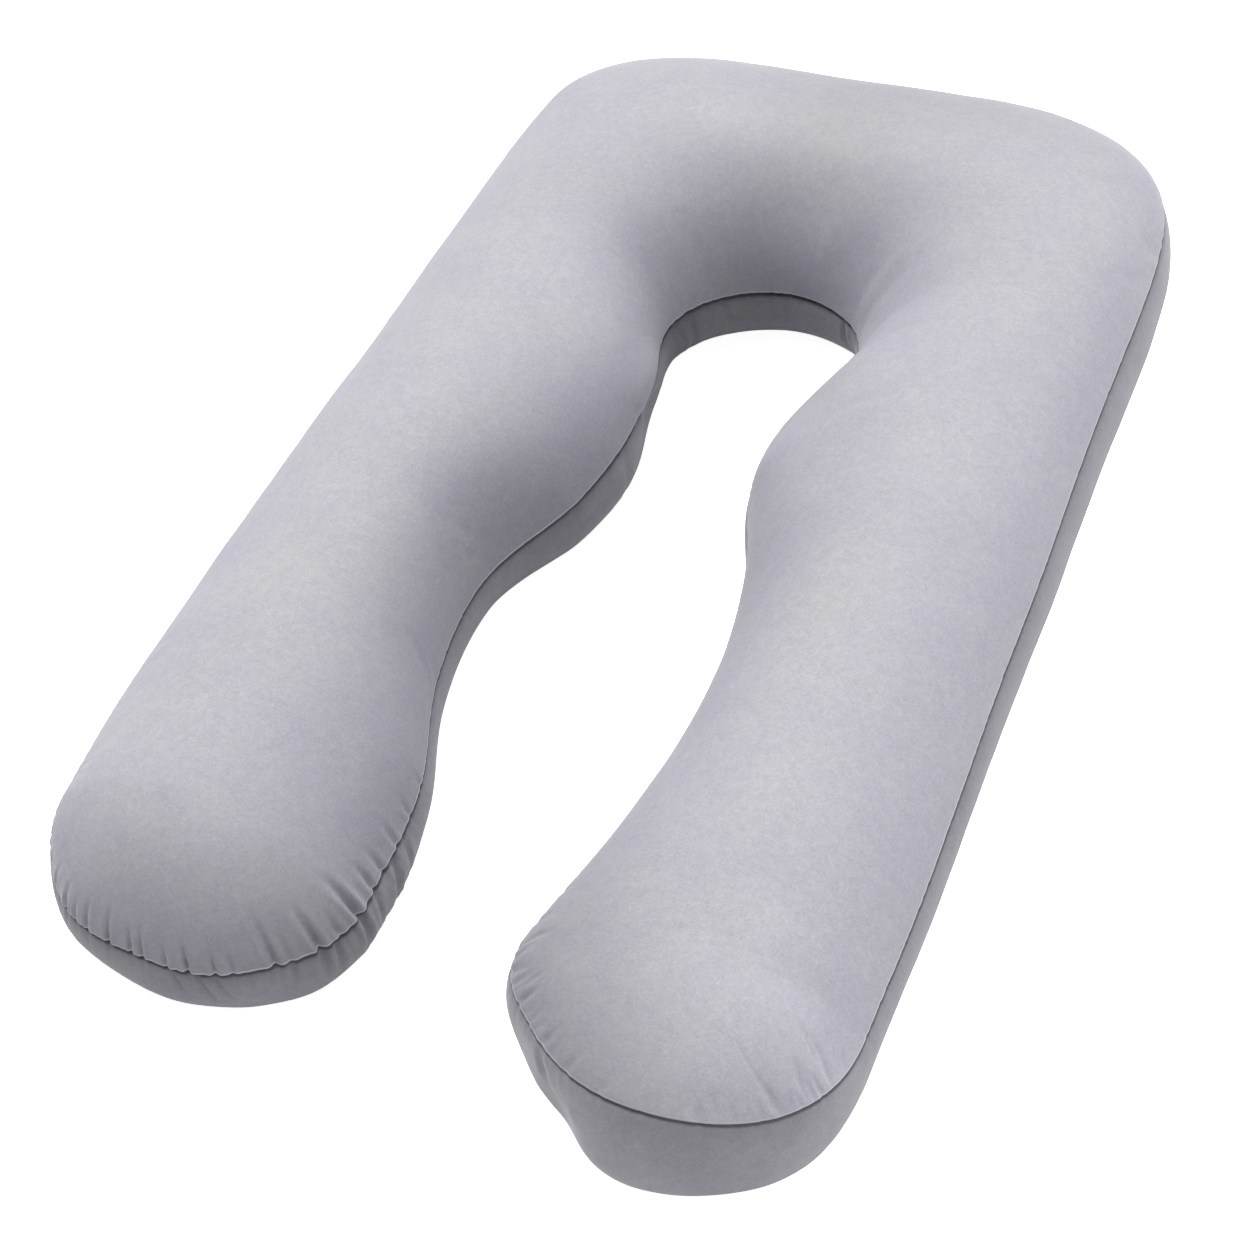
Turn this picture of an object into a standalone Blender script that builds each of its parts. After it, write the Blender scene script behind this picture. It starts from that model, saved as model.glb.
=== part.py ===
"""A U-shaped body pillow, modelled as the one filled cushion that it is.

Two panels of soft cloth are joined by one plain seam that runs round the whole
outline, so the filling swells into an upper lobe above the seam and a lower
lobe below it. The pillow lies on its back: the head of the U points along +Y
and its two legs run down towards -Y. Sizes are in metres and +Z is up. The
origin is on the floor, below the middle of the pillow.

The shape is a loft. A spine follows the middle of each leg and a half circle
round the head. At every place along it one rib goes out to the outer seam and
one to the inner seam, and a fan of ribs closes the round end of each leg.
"""

import math
from typing import NamedTuple

import bmesh
import bpy
from mathutils import Vector

# Plan of the pillow, before it is centred on its origin
LEG_AXIS = 0.257            # from the middle of the pillow to the middle line of a leg
LEG_END_Y = -0.565          # where a leg's round end starts
HEAD_Y = 0.273              # where the legs meet the head
HEAD_REACH = 0.446          # from there to the outer seam at the top of the head
RIGHT_SQUARENESS = 4.5      # 2 would be an ellipse, and more gives squarer corners
LEFT_SQUARENESS = 5.2
ARCH_REACH = 0.100          # how far the space between the legs goes into the head
ARCH_SQUARENESS = 1.9

# Crown of the head, every 30 degrees from the end of one leg to the other
HEAD_CROWNS = (0.192, 0.201, 0.208, 0.193, 0.208, 0.201, 0.192)

# Upper lobe
UPPER_FLATNESS = 2.2        # more keeps the middle of the lobe flatter
UPPER_FULLNESS = 1.5        # more makes the lobe steeper beside the seam

# Lower lobe
LOWER_ROUNDING = 0.060      # how far the floor's contact patch stays inside the seam
LOWER_SQUARENESS = 3.4
LOWER_BULGE = 0.09          # how far the wall swells out, as a share of the seam's height

# Seam
SEAM_TUCK = 0.004           # how deep the seam is drawn in between the two lobes

# Gathers in the cloth along the seam
GATHER_HALF_WIDTH = 2.4     # in degrees round the end of a leg
GATHER_SCALLOP = 0.4        # share of a gather's depth that is left at the seam itself
GATHER_RISE = 0.012         # height above the seam at which a gather is deepest

# Spacing of the mesh
RIBS_PER_SIXTH = 5          # ribs along each sixth of a leg
RIBS_ROUND_HEAD = 36
DEGREES_PER_END_RIB = 6.0
SMALLEST_RIB_STEP = 0.3     # share of the usual step that two ribs may come together
UPPER_ANGLES = (90, 82, 74, 65, 55, 44, 33, 22, 11)
LOWER_HEIGHTS = (0.14, 0.36, 0.60, 0.80, 0.93, 1.0)
FLOOR_RINGS = (0.62, 0.28)

CLOTH_COLOUR = (0.56, 0.56, 0.60, 1.0)
CLOTH_ROUGHNESS = 0.95


class Section(NamedTuple):
    """One place along a leg: half widths to each seam, and heights above the floor."""

    outer: float
    inner: float
    crown: float
    outer_seam: float
    inner_seam: float


class EndRow(NamedTuple):
    """One direction round the end of a leg, turning from its outer to its inner side."""

    reach: float
    seam: float


class Gather(NamedTuple):
    """One gather: its place round the end in degrees, its depth and its length."""

    turn: float
    depth: float
    length: float


class Rib(NamedTuple):
    """One rib: where it starts in plan, its direction, and its sizes."""

    foot: Vector
    direction: Vector
    reach: float
    crown: float
    seam: float
    turn: float


# Sections in sixths of a leg, from its round end to the head
RIGHT_LEG = (
    Section(0.145, 0.172, 0.170, 0.074, 0.094),
    Section(0.147, 0.139, 0.176, 0.076, 0.092),
    Section(0.145, 0.124, 0.182, 0.082, 0.087),
    Section(0.143, 0.134, 0.187, 0.090, 0.081),
    Section(0.143, 0.178, 0.190, 0.097, 0.074),
    Section(0.140, 0.193, 0.191, 0.103, 0.069),
    Section(0.138, 0.148, 0.192, 0.105, 0.067),
)
LEFT_LEG = (
    Section(0.148, 0.171, 0.170, 0.098, 0.056),
    Section(0.159, 0.160, 0.176, 0.099, 0.057),
    Section(0.157, 0.114, 0.182, 0.100, 0.059),
    Section(0.155, 0.104, 0.187, 0.102, 0.062),
    Section(0.154, 0.153, 0.190, 0.103, 0.064),
    Section(0.151, 0.165, 0.191, 0.105, 0.066),
    Section(0.153, 0.140, 0.192, 0.105, 0.067),
)

# Directions every 45 degrees round the end, between the leg's outer and inner side
RIGHT_END = (EndRow(0.163, 0.112), EndRow(0.172, 0.150), EndRow(0.163, 0.131))
LEFT_END = (EndRow(0.138, 0.074), EndRow(0.125, 0.069), EndRow(0.156, 0.072))

# Past 180 degrees a gather lies along the inner side of the leg
LEFT_GATHERS = (
    Gather(20, 0.0020, 0.030),
    Gather(34, 0.0025, 0.035),
    Gather(48, 0.0035, 0.040),
    Gather(61, 0.0035, 0.045),
    Gather(76, 0.0050, 0.055),
    Gather(90, 0.0040, 0.050),
    Gather(104, 0.0045, 0.040),
    Gather(113, 0.0030, 0.030),
    Gather(123, 0.0045, 0.030),
    Gather(134, 0.0040, 0.030),
    Gather(145, 0.0055, 0.065),
    Gather(158, 0.0065, 0.070),
    Gather(167, 0.0040, 0.050),
    Gather(178, 0.0070, 0.070),
    Gather(193, 0.0050, 0.045),
    Gather(205, 0.0035, 0.035),
    Gather(217, 0.0030, 0.030),
    Gather(229, 0.0025, 0.025),
)
RIGHT_GATHERS = (
    Gather(112, 0.0020, 0.025),
    Gather(126, 0.0025, 0.030),
    Gather(140, 0.0035, 0.035),
    Gather(152, 0.0030, 0.040),
    Gather(164, 0.0030, 0.040),
    Gather(178, 0.0025, 0.035),
)


def smooth_row(values: list[float], place: float) -> float:
    """Read evenly spaced values on a smooth curve through them.

    The first and the last value only steer the curve: place 0 is the second one.
    """
    last = len(values) - 4
    start = min(int(place), last)
    t = place - start
    before, a, b, after = values[start:start + 4]
    return 0.5 * (
        2 * a
        + (b - before) * t
        + (2 * before - 5 * a + 4 * b - after) * t ** 2
        + (3 * a - before - 3 * b + after) * t ** 3
    )


def leg_value(rows: tuple[Section, ...], name: str, place: float) -> float:
    """Read one column of a leg's table at a place counted in sixths of the leg."""
    values = [getattr(row, name) for row in rows]
    lead_in = 2 * values[0] - values[1]
    return smooth_row([lead_in, *values, values[-2]], place)


def end_reach(leg: tuple[Section, ...], end: tuple[EndRow, ...], turn: float) -> float:
    """Distance from a leg's end point to the seam, smooth into both sides of the leg."""
    first, second = leg[0], leg[1]
    step = (HEAD_Y - LEG_END_Y) / (len(leg) - 1)
    quarter = math.radians(90)
    reaches = [first.outer, *(row.reach for row in end), first.inner]
    lead_in = reaches[1] + quarter * first.outer * (second.outer - first.outer) / step
    lead_out = reaches[-2] + quarter * first.inner * (second.inner - first.inner) / step
    return smooth_row([lead_in, *reaches, lead_out], turn / 45)


def end_seam(leg: tuple[Section, ...], end: tuple[EndRow, ...], turn: float) -> float:
    """Height of the seam round the end of a leg."""
    heights = [leg[0].outer_seam, *(row.seam for row in end), leg[0].inner_seam]
    return smooth_row([heights[1], *heights, heights[-2]], turn / 45)


def superellipse(angle: float, half_width: float, reach: float, squareness: float) -> float:
    """Distance from the centre of a rounded outline to its edge at an angle from X."""
    across = abs(math.cos(angle) / half_width) ** squareness
    along = abs(math.sin(angle) / reach) ** squareness
    return (across + along) ** (-1 / squareness)


def with_gathers(steps: list[float], gathers: tuple[Gather, ...]) -> list[float]:
    """Add a rib in each gather and on both its sides, and drop steps that crowd them."""
    folds = [
        gather.turn + shift
        for gather in gathers
        for shift in (-GATHER_HALF_WIDTH, 0.0, GATHER_HALF_WIDTH)
    ]
    room = SMALLEST_RIB_STEP * DEGREES_PER_END_RIB
    kept = [step for step in steps if all(abs(step - fold) > room for fold in folds)]
    return sorted(kept + folds)


def end_turns(gathers: tuple[Gather, ...]) -> list[float]:
    """Directions of the ribs round the end of a leg, without its two sides."""
    count = round(180 / DEGREES_PER_END_RIB)
    steps = [180 * i / count for i in range(count + 1)]
    margin = GATHER_HALF_WIDTH / 2
    return [turn for turn in with_gathers(steps, gathers) if margin < turn < 180 - margin]


def leg_places(leg: tuple[Section, ...], gathers: tuple[Gather, ...]) -> list[float]:
    """Places of the ribs along a leg in sixths of it, from its end to the head."""
    degrees_per_sixth = math.degrees((HEAD_Y - LEG_END_Y) / (len(leg) - 1) / leg[0].inner)
    count = RIBS_PER_SIXTH * (len(leg) - 1)
    steps = [180 + degrees_per_sixth * i / RIBS_PER_SIXTH for i in range(1, count + 1)]
    beside = tuple(gather for gather in gathers if gather.turn > 180)
    turns = [180.0, *with_gathers(steps, beside)]
    return [(turn - 180) / degrees_per_sixth for turn in turns]


def gather_turn(leg: tuple[Section, ...], place: float) -> float:
    """The place along a leg's inner side, in the degrees that gathers are given in."""
    distance = place * (HEAD_Y - LEG_END_Y) / (len(leg) - 1)
    return 180 + math.degrees(distance / leg[0].inner)


def leg_ribs(side: int, leg: tuple[Section, ...], place: float) -> tuple[Rib, Rib]:
    """The outer and the inner rib at a place along a leg; side is +1 right, -1 left."""
    y = LEG_END_Y + (HEAD_Y - LEG_END_Y) * place / (len(leg) - 1)
    foot = Vector((side * LEG_AXIS, y))
    out = Vector((side, 0.0))
    value = {name: leg_value(leg, name, place) for name in Section._fields}
    outer = Rib(foot, out, value["outer"], value["crown"], value["outer_seam"], 0.0)
    turn = gather_turn(leg, place)
    inner = Rib(foot, -out, value["inner"], value["crown"], value["inner_seam"], turn)
    return outer, inner


def head_ribs(angle: float) -> tuple[Rib, Rib]:
    """The outer and the inner rib round the head, at an angle from the right leg."""
    right = angle <= math.pi / 2
    last = (RIGHT_LEG if right else LEFT_LEG)[-1]
    squareness = RIGHT_SQUARENESS if right else LEFT_SQUARENESS
    out = Vector((math.cos(angle), math.sin(angle)))
    foot = Vector((0.0, HEAD_Y)) + LEG_AXIS * out
    edge = superellipse(angle, LEG_AXIS + last.outer, HEAD_REACH, squareness)
    arch = superellipse(angle, LEG_AXIS - last.inner, ARCH_REACH, ARCH_SQUARENESS)
    crowns = [HEAD_CROWNS[1], *HEAD_CROWNS, HEAD_CROWNS[-2]]
    crown = smooth_row(crowns, angle / math.pi * (len(HEAD_CROWNS) - 1))
    outer = Rib(foot, out, edge - LEG_AXIS, crown, last.outer_seam, 0.0)
    inner = Rib(foot, -out, LEG_AXIS - arch, crown, last.inner_seam, math.inf)
    return outer, inner


def end_rib(side: int, leg: tuple[Section, ...], end: tuple[EndRow, ...], turn: float) -> Rib:
    """One rib of the fan that closes a leg."""
    angle = math.radians(turn)
    foot = Vector((side * LEG_AXIS, LEG_END_Y))
    out = Vector((side * math.cos(angle), -math.sin(angle)))
    reach = end_reach(leg, end, turn)
    return Rib(foot, out, reach, leg[0].crown, end_seam(leg, end, turn), turn)


def gather_depth(rib: Rib, rise: float, gathers: tuple[Gather, ...]) -> float:
    """How far the cloth is folded in on a rib, at a height above the seam."""
    depth = 0.0
    for gather in gathers:
        across = math.exp(-((rib.turn - gather.turn) / GATHER_HALF_WIDTH) ** 2)
        if rise < GATHER_RISE:
            along = GATHER_SCALLOP + (1 - GATHER_SCALLOP) * rise / GATHER_RISE
        else:
            along = max(0.0, 1 - (rise - GATHER_RISE) / gather.length) ** 2
        depth = max(depth, gather.depth * across * along)
    return depth


def rib_points(rib: Rib, gathers: tuple[Gather, ...]) -> list[Vector]:
    """Points down a rib from beside the crown, over the seam, to beside the floor's middle."""
    points = []

    def add(reach: float, height: float) -> None:
        """Place one point at a distance along the rib and a height."""
        plan = rib.foot + rib.direction * reach
        points.append(Vector((plan.x, plan.y, height)))

    for angle in reversed(UPPER_ANGLES):
        share = math.sin(math.radians(angle))
        rise = (rib.crown - rib.seam) * (1 - share ** UPPER_FLATNESS) ** (1 / UPPER_FULLNESS)
        tuck = SEAM_TUCK if angle == UPPER_ANGLES[0] else 0.0
        fold = gather_depth(rib, rise + rib.reach * (1 - share), gathers)
        add(rib.reach * share - tuck - fold, rib.seam + rise - fold * (1 - share))
    for fall in LOWER_HEIGHTS:
        rounded = (1 - fall ** LOWER_SQUARENESS) ** (1 / LOWER_SQUARENESS)
        bulge = LOWER_BULGE * rib.seam * math.sin(math.pi * fall)
        add(rib.reach - LOWER_ROUNDING * (1 - rounded) + bulge, rib.seam * (1 - fall))
    for share in FLOOR_RINGS:
        add((rib.reach - LOWER_ROUNDING) * share, 0.0)
    return points


class Loft:
    """The cushion's surface while it is put together rib by rib."""

    def __init__(self) -> None:
        """Start with an empty mesh."""
        self.mesh = bmesh.new()

    def strip(self, left: list, right: list) -> None:
        """Close the cloth between two ribs that stand side by side."""
        for i in range(len(left) - 1):
            self.face(left[i], left[i + 1], right[i + 1], right[i])

    def face(self, *corners) -> None:
        """Add a face, leaving out a corner that two neighbours share."""
        ring = [v for i, v in enumerate(corners) if v is not corners[i - 1]]
        self.mesh.faces.new(ring)

    def rib(self, top, bottom, rib: Rib, gathers: tuple[Gather, ...]) -> list:
        """Add a rib's own points between its shared top and bottom point."""
        return [top, *(self.mesh.verts.new(p) for p in rib_points(rib, gathers)), bottom]

    def spine(self, rib: Rib) -> tuple:
        """Add the crown point and the floor point that ribs of one place share."""
        top = self.mesh.verts.new((rib.foot.x, rib.foot.y, rib.crown))
        bottom = self.mesh.verts.new((rib.foot.x, rib.foot.y, 0.0))
        return top, bottom


def all_pairs() -> list[tuple[Rib, Rib, tuple[Gather, ...]]]:
    """Every outer and inner rib, from the right leg's end round to the left leg's end."""
    pairs = []
    for place in leg_places(RIGHT_LEG, RIGHT_GATHERS):
        pairs.append((*leg_ribs(1, RIGHT_LEG, place), RIGHT_GATHERS))
    for i in range(1, RIBS_ROUND_HEAD):
        pairs.append((*head_ribs(math.pi * i / RIBS_ROUND_HEAD), ()))
    for place in reversed(leg_places(LEFT_LEG, LEFT_GATHERS)):
        pairs.append((*leg_ribs(-1, LEFT_LEG, place), LEFT_GATHERS))
    return pairs


def close_end(loft: Loft, side: int, sides: tuple, leg, end, gathers) -> None:
    """Fan ribs round a leg's end from its outer side's rib to its inner side's."""
    outer, inner = sides
    top, bottom = outer[0], outer[-1]
    fan = [outer]
    for turn in end_turns(gathers):
        fan.append(loft.rib(top, bottom, end_rib(side, leg, end, turn), gathers))
    fan.append(inner)
    for left, right in zip(fan, fan[1:]):
        loft.strip(left, right)


def build_cushion() -> bpy.types.Mesh:
    """Loft the whole cushion and return its mesh, centred on the origin."""
    loft = Loft()
    rows = []
    for outer, inner, gathers in all_pairs():
        top, bottom = loft.spine(outer)
        rows.append((
            loft.rib(top, bottom, outer, ()),
            loft.rib(top, bottom, inner, gathers),
        ))
    for (outer_a, inner_a), (outer_b, inner_b) in zip(rows, rows[1:]):
        loft.strip(outer_a, outer_b)
        loft.strip(inner_b, inner_a)
    close_end(loft, 1, rows[0], RIGHT_LEG, RIGHT_END, RIGHT_GATHERS)
    close_end(loft, -1, rows[-1], LEFT_LEG, LEFT_END, LEFT_GATHERS)
    bmesh.ops.recalc_face_normals(loft.mesh, faces=loft.mesh.faces)
    bmesh.ops.triangulate(loft.mesh, faces=loft.mesh.faces)
    centre_in_plan(loft.mesh)
    mesh = bpy.data.meshes.new("pillow")
    loft.mesh.to_mesh(mesh)
    loft.mesh.free()
    mesh.shade_smooth()
    return mesh


def centre_in_plan(mesh: bmesh.types.BMesh) -> None:
    """Move a mesh so that its box is centred over the origin."""
    for axis in range(2):
        values = [vertex.co[axis] for vertex in mesh.verts]
        shift = (min(values) + max(values)) / 2
        for vertex in mesh.verts:
            vertex.co[axis] -= shift


def cloth_material() -> bpy.types.Material:
    """Soft grey velvet."""
    material = bpy.data.materials.new("velvet")
    material.use_nodes = True
    surface = material.node_tree.nodes["Principled BSDF"]
    surface.inputs["Base Color"].default_value = CLOTH_COLOUR
    surface.inputs["Roughness"].default_value = CLOTH_ROUGHNESS
    surface.inputs["Metallic"].default_value = 0.0
    return material


def main() -> None:
    """Clear the scene and build the pillow in its own collection."""
    for old in list(bpy.data.objects):
        bpy.data.objects.remove(old, do_unlink=True)
    collection = bpy.data.collections.new("pregnancy_pillow")
    bpy.context.scene.collection.children.link(collection)
    pillow = bpy.data.objects.new("pillow", build_cushion())
    pillow.data.materials.append(cloth_material())
    collection.objects.link(pillow)


main()
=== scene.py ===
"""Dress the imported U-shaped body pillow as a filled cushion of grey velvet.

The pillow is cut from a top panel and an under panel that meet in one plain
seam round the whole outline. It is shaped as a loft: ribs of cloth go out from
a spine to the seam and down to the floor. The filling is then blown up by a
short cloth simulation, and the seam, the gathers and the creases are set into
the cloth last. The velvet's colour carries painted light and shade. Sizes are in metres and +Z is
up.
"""

import logging
import math
from dataclasses import dataclass, field
from enum import Enum
from typing import NamedTuple

import bpy
import numpy as np
from mathutils import Matrix, Vector, noise


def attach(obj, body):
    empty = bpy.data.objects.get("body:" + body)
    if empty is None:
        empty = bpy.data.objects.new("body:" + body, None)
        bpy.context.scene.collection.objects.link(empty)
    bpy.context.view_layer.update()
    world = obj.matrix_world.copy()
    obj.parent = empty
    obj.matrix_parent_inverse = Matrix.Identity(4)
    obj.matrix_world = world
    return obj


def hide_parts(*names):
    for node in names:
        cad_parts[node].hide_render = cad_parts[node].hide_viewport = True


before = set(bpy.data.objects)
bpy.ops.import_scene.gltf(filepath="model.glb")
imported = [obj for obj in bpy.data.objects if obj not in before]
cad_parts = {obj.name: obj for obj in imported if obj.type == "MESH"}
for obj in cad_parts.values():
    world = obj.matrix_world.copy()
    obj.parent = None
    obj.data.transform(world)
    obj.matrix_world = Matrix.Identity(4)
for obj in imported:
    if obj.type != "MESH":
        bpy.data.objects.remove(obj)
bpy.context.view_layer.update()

log = logging.getLogger("pillow")

Array = np.ndarray
Colour = tuple[float, float, float, float]
Span = tuple[float, float]
Node = bpy.types.Node
Socket = bpy.types.NodeSocket
Tree = bpy.types.NodeTree

BODY = "root"
NODE = "pillow"
ABOVE_SEAM = "above_seam"
PAINTED_LIGHT_AND_SHADE = "painted_light_and_shade"
PAINTED_TOP_LIGHT = "painted_top_light"
PHOTO_PIXELS = 1254
WHITE: Colour = (1.0, 1.0, 1.0, 1.0)
# The turn of a rib that lies on no leg's end.
NO_TURN = 1e4


class Side(Enum):
    """The two legs of the U, by the sign of their X."""

    RIGHT = 1
    LEFT = -1


class Panel(Enum):
    """The two pieces of cloth that the cover is cut from."""

    TOP = 0
    UNDER = 1


class Section(NamedTuple):
    """One place along a leg: half widths to each seam, and heights above the floor."""

    outer: float
    inner: float
    crown: float
    outer_seam: float
    inner_seam: float


class EndRow(NamedTuple):
    """One direction round the end of a leg, turning from its outer to its inner side."""

    reach: float
    seam: float


class Gather(NamedTuple):
    """One gather: its place round the end in degrees, its depth, length, half width and lean."""

    turn: float
    depth: float
    length: float
    width: float
    lean: float = 0.0


class Crease(NamedTuple):
    """A soft crease between two points, each a distance along and away from the seam."""

    start: Span
    end: Span
    depth: float
    width: float


class Bulge(NamedTuple):
    """Filling pushed out or drawn in round a point, given along and away from the seam."""

    centre: Span
    reach: Span
    height: float


class PaintedShadeArea(NamedTuple):
    """An area in plan whose colour is painted paler or darker as painted light or shade, and by
    which share.
    """

    centre: Span
    reach: Span
    shade: float


@dataclass
class Ribs:
    """Ribs of cloth side by side, as arrays with one entry for each rib."""

    foot: Array
    out: Array
    reach: Array
    crown: Array
    seam: Array
    turn: Array

    @staticmethod
    def join(parts: list["Ribs"]) -> "Ribs":
        """Put several sets of ribs one after the other.

        Args:
            parts: The sets, in order.

        Returns:
            One set that holds them all.
        """
        names = ("foot", "out", "reach", "crown", "seam", "turn")
        return Ribs(*(np.concatenate([getattr(part, name) for part in parts]) for name in names))

    def __len__(self) -> int:
        """The number of ribs."""
        return len(self.reach)


def smooth_row(values: list[float], place: Array) -> Array:
    """Read evenly spaced values on a smooth curve through them.

    Args:
        values: The values, with one more at each end that only steers the curve.
        place: Where to read, counted from the second value.

    Returns:
        The curve's value at each place.
    """
    row = np.asarray(values)
    start = np.minimum(place.astype(int), len(values) - 4)
    t = place - start
    before, a, b, after = (row[start + i] for i in range(4))
    return 0.5 * (
        2 * a
        + (b - before) * t
        + (2 * before - 5 * a + 4 * b - after) * t**2
        + (3 * a - before - 3 * b + after) * t**3
    )


def superellipse(angle: Array, half_width: Array, reach: float, squareness: Array) -> Array:
    """Distance from the centre of a rounded outline to its edge.

    Args:
        angle: Directions from +X, in radians.
        half_width: The outline's half width along X.
        reach: Its reach along Y.
        squareness: 2 gives an ellipse, and more gives squarer corners.

    Returns:
        The distance in each direction.
    """
    across = np.abs(np.cos(angle) / half_width) ** squareness
    along = np.abs(np.sin(angle) / reach) ** squareness
    return (across + along) ** (-1 / squareness)


def bell(distance: Array, width: float | Array) -> Array:
    """A bell curve that is 1 at no distance."""
    return np.exp(-((distance / width) ** 2))


def hill(place: Array, centre: Span, reach: Span) -> Array:
    """A smooth hill over rows of two numbers, 1 at its centre."""
    return np.exp(-(((place - centre) / reach) ** 2).sum(axis=1))


@dataclass
class Plan:
    """The pillow's outline, heights and spine."""

    leg_axis: float = 0.257
    leg_end_y: float = -0.565
    head_y: float = 0.273
    head_reach: float = 0.446
    right_squareness: float = 4.5
    left_squareness: float = 5.2
    arch_reach: float = 0.100
    arch_squareness: float = 1.9
    end_row_step: float = 45.0
    head_crowns: tuple[float, ...] = (0.192, 0.201, 0.208, 0.193, 0.208, 0.201, 0.192)
    legs: dict[Side, tuple[Section, ...]] = field(default_factory=lambda: {
        Side.RIGHT: (
            Section(0.145, 0.172, 0.170, 0.074, 0.094),
            Section(0.147, 0.139, 0.176, 0.076, 0.092),
            Section(0.145, 0.124, 0.182, 0.082, 0.087),
            Section(0.143, 0.134, 0.187, 0.090, 0.081),
            Section(0.143, 0.178, 0.190, 0.097, 0.074),
            Section(0.140, 0.193, 0.191, 0.103, 0.069),
            Section(0.138, 0.148, 0.192, 0.105, 0.067),
        ),
        Side.LEFT: (
            Section(0.148, 0.171, 0.170, 0.098, 0.056),
            Section(0.159, 0.160, 0.176, 0.099, 0.057),
            Section(0.157, 0.114, 0.182, 0.100, 0.059),
            Section(0.155, 0.104, 0.187, 0.102, 0.062),
            Section(0.154, 0.153, 0.190, 0.103, 0.064),
            Section(0.151, 0.165, 0.191, 0.105, 0.066),
            Section(0.153, 0.140, 0.192, 0.105, 0.067),
        ),
    })
    ends: dict[Side, tuple[EndRow, ...]] = field(default_factory=lambda: {
        Side.RIGHT: (EndRow(0.163, 0.112), EndRow(0.172, 0.150), EndRow(0.163, 0.131)),
        Side.LEFT: (EndRow(0.138, 0.074), EndRow(0.125, 0.069), EndRow(0.156, 0.072)),
    })

    @property
    def leg_length(self) -> float:
        """Length of a leg's straight middle line."""
        return self.head_y - self.leg_end_y

    def _column(self, side: Side, name: str, place: Array) -> Array:
        """Read a column of a leg's table.

        Args:
            side: Which leg.
            name: The column.
            place: Where to read, in sixths of the leg from its end.

        Returns:
            The column's value at each place. The crown starts level, the others go straight on.
        """
        values = [getattr(row, name) for row in self.legs[side]]
        lead_in = values[1] if name == "crown" else 2 * values[0] - values[1]
        return smooth_row([lead_in, *values, values[-2]], place)

    def leg(self, side: Side, places: Array) -> tuple[Ribs, Ribs]:
        """The outer and the inner ribs of a leg.

        Args:
            side: Which leg.
            places: Where the ribs stand, in sixths of the leg from its end.

        Returns:
            The ribs to the outer seam and those to the inner seam.
        """
        sixths = len(self.legs[side]) - 1
        distance = self.leg_length * places / sixths
        x = np.full_like(places, side.value * self.leg_axis)
        foot = np.stack([x, self.leg_end_y + distance], axis=1)
        out = np.stack([np.full_like(places, side.value), np.zeros_like(places)], axis=1)
        crown = self._column(side, "crown", places)
        turn = 180 + np.degrees(distance / self.legs[side][0].inner)
        outer = Ribs(
            foot, out, self._column(side, "outer", places), crown,
            self._column(side, "outer_seam", places), 180 - turn,
        )
        inner = Ribs(
            foot, -out, self._column(side, "inner", places), crown,
            self._column(side, "inner_seam", places), turn,
        )
        return outer, inner

    def head(self, angles: Array) -> tuple[Ribs, Ribs]:
        """The outer and the inner ribs round the head.

        Args:
            angles: Directions of the ribs from the right leg, in radians.

        Returns:
            The ribs to the outer seam and those to the seam of the arch.
        """
        right = angles <= math.pi / 2
        last = {side: rows[-1] for side, rows in self.legs.items()}

        def pick(name: str) -> Array:
            """The size of the leg on whose side each rib lies."""
            return np.where(right, *(getattr(last[side], name) for side in Side))

        out = np.stack([np.cos(angles), np.sin(angles)], axis=1)
        foot = np.array([0.0, self.head_y]) + self.leg_axis * out
        edge = superellipse(
            angles, self.leg_axis + pick("outer"), self.head_reach,
            np.where(right, self.right_squareness, self.left_squareness),
        )
        arch = superellipse(
            angles, self.leg_axis - pick("inner"), self.arch_reach, self.arch_squareness
        )
        crowns = [self.head_crowns[1], *self.head_crowns, self.head_crowns[-2]]
        crown = smooth_row(crowns, angles / math.pi * (len(self.head_crowns) - 1))
        far = np.full_like(angles, NO_TURN)
        outer = Ribs(foot, out, edge - self.leg_axis, crown, pick("outer_seam"), -far)
        inner = Ribs(foot, -out, self.leg_axis - arch, crown, pick("inner_seam"), far)
        return outer, inner

    def end(self, side: Side, turns: Array) -> Ribs:
        """The fan of ribs that closes a leg.

        Args:
            side: Which leg.
            turns: Directions of the ribs in degrees, from the outer side to the inner.

        Returns:
            The ribs.
        """
        rows = self.legs[side]
        first, second = rows[0], rows[1]
        step = self.leg_length / (len(rows) - 1)
        quarter = math.pi / 2
        reach = [first.outer, *(row.reach for row in self.ends[side]), first.inner]
        seam = [first.outer_seam, *(row.seam for row in self.ends[side]), first.inner_seam]
        lead_in = reach[1] + quarter * first.outer * (second.outer - first.outer) / step
        lead_out = reach[-2] + quarter * first.inner * (second.inner - first.inner) / step
        angle = np.radians(turns)
        out = np.stack([side.value * np.cos(angle), -np.sin(angle)], axis=1)
        foot = np.tile([side.value * self.leg_axis, self.leg_end_y], (len(turns), 1))
        return Ribs(
            foot, out,
            smooth_row([lead_in, *reach, lead_out], turns / self.end_row_step),
            np.full_like(turns, first.crown),
            smooth_row([seam[1], *seam, seam[-2]], turns / self.end_row_step),
            turns,
        )


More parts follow.
